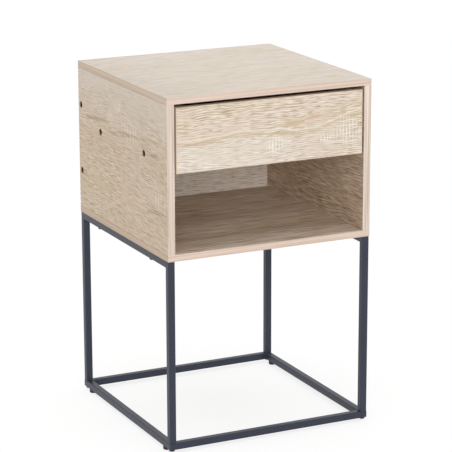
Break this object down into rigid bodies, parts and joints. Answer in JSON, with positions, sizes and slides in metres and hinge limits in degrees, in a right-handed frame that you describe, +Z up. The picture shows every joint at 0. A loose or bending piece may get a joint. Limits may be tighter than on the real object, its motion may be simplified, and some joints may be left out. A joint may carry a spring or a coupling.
{
  "type": "side table with drawer",
  "caption": "Square side table: oak-foil box with a sliding drawer above an open shelf, bolted on a slim square-tube steel frame with a lower ring and feet.",
  "frame": {"origin": "on the floor, under the middle of the table", "axes": "+Z up, -Y to the front where the drawer opens, +X to the right seen from the front"},
  "size_m": [0.4, 0.4, 0.6434],
  "materials": {
    "oak_foil_board": "oak-pattern melamine foil on particleboard, satin",
    "oak_edge_band": "printed oak edge strip, satin",
    "hardboard": "oak-pattern paper on thin hardboard",
    "beech": "bare beech dowel",
    "powder_coated_tube": "charcoal powder coat, satin",
    "coated_runner_steel": "white epoxy coat",
    "white_nylon": "moulded nylon",
    "black_plastic": "moulded black plastic",
    "black_oxide_steel": "black oxide",
    "zinc_steel": "zinc plated"
  },
  "bodies": {
    "cabinet": {"back_panel": "oak_foil_board", "back_panel_screws": "black_oxide_steel", "bottom_edge_bands": "oak_edge_band", "bottom_panel": "oak_foil_board", "bottom_panel_screws": "zinc_steel", "cabinet_bolt_inserts": "zinc_steel", "cabinet_bolts": "black_oxide_steel", "cabinet_cam_bolts": "zinc_steel", "cabinet_cams": "zinc_steel", "cabinet_dowels": "beech", "cabinet_roller_axles": "zinc_steel", "cabinet_runner_screws": "zinc_steel", "deck_edge_band": "oak_edge_band", "deck_screws": "black_oxide_steel", "drawer_deck": "oak_foil_board", "left_cabinet_runner": "coated_runner_steel", "left_front_foot": "black_plastic", "left_front_leg": "powder_coated_tube", "left_rear_foot": "black_plastic", "left_rear_leg": "powder_coated_tube", "left_side_panel": "oak_foil_board", "left_top_rail": "powder_coated_tube", "leg_bolts": "black_oxide_steel", "leg_nut_plugs": "zinc_steel", "right_cabinet_runner": "coated_runner_steel", "right_front_foot": "black_plastic", "right_front_leg": "powder_coated_tube", "right_rear_foot": "black_plastic", "right_rear_leg": "powder_coated_tube", "right_side_panel": "oak_foil_board", "right_top_rail": "powder_coated_tube", "ring_front_rail": "powder_coated_tube", "ring_left_rail": "powder_coated_tube", "ring_rear_rail": "powder_coated_tube", "ring_right_rail": "powder_coated_tube", "side_edge_bands": "oak_edge_band", "top_edge_bands": "oak_edge_band", "top_panel": "oak_foil_board"},
    "drawer": {"drawer_front": "oak_foil_board", "drawer_front_edge_bands": "oak_edge_band", "drawer_left_side": "oak_foil_board", "drawer_right_side": "oak_foil_board", "drawer_back": "oak_foil_board", "drawer_bottom": "hardboard", "drawer_cams": "zinc_steel", "drawer_cam_bolts": "zinc_steel", "drawer_dowels": "beech", "drawer_back_screws": "zinc_steel", "drawer_bottom_nails": "zinc_steel", "left_drawer_runner": "coated_runner_steel", "right_drawer_runner": "coated_runner_steel", "drawer_runner_screws": "zinc_steel", "drawer_roller_axles": "zinc_steel"},
    "left_front_roller": {"left_front_roller": "white_nylon"},
    "right_front_roller": {"right_front_roller": "white_nylon"},
    "left_rear_roller": {"left_rear_roller": "white_nylon"},
    "right_rear_roller": {"right_rear_roller": "white_nylon"}
  },
  "joints": [
    {"name": "drawer_slide", "type": "slide", "parent": "cabinet", "child": "drawer", "axis": [0, -1, 0], "range_m": [0, 0.25]},
    {"name": "left_front_roller_spin", "type": "hinge", "parent": "cabinet", "child": "left_front_roller", "pos_m": [-0.17965, -0.171, 0.5457], "axis": [1, 0, 0], "range_deg": [0, 1600]},
    {"name": "right_front_roller_spin", "type": "hinge", "parent": "cabinet", "child": "right_front_roller", "pos_m": [0.17965, -0.171, 0.5457], "axis": [1, 0, 0], "range_deg": [0, 1600]},
    {"name": "left_rear_roller_spin", "type": "hinge", "parent": "drawer", "child": "left_rear_roller", "pos_m": [-0.17965, 0.1475, 0.5457], "axis": [1, 0, 0], "range_deg": [0, 1600]},
    {"name": "right_rear_roller_spin", "type": "hinge", "parent": "drawer", "child": "right_rear_roller", "pos_m": [0.17965, 0.1475, 0.5457], "axis": [1, 0, 0], "range_deg": [0, 1600]}
  ],
  "couplings": [
    {"joint": "left_front_roller_spin", "follows": "drawer_slide", "rad_per_m": 111.11},
    {"joint": "right_front_roller_spin", "follows": "drawer_slide", "rad_per_m": 111.11},
    {"joint": "left_rear_roller_spin", "follows": "drawer_slide", "rad_per_m": 111.11},
    {"joint": "right_rear_roller_spin", "follows": "drawer_slide", "rad_per_m": 111.11}
  ]
}
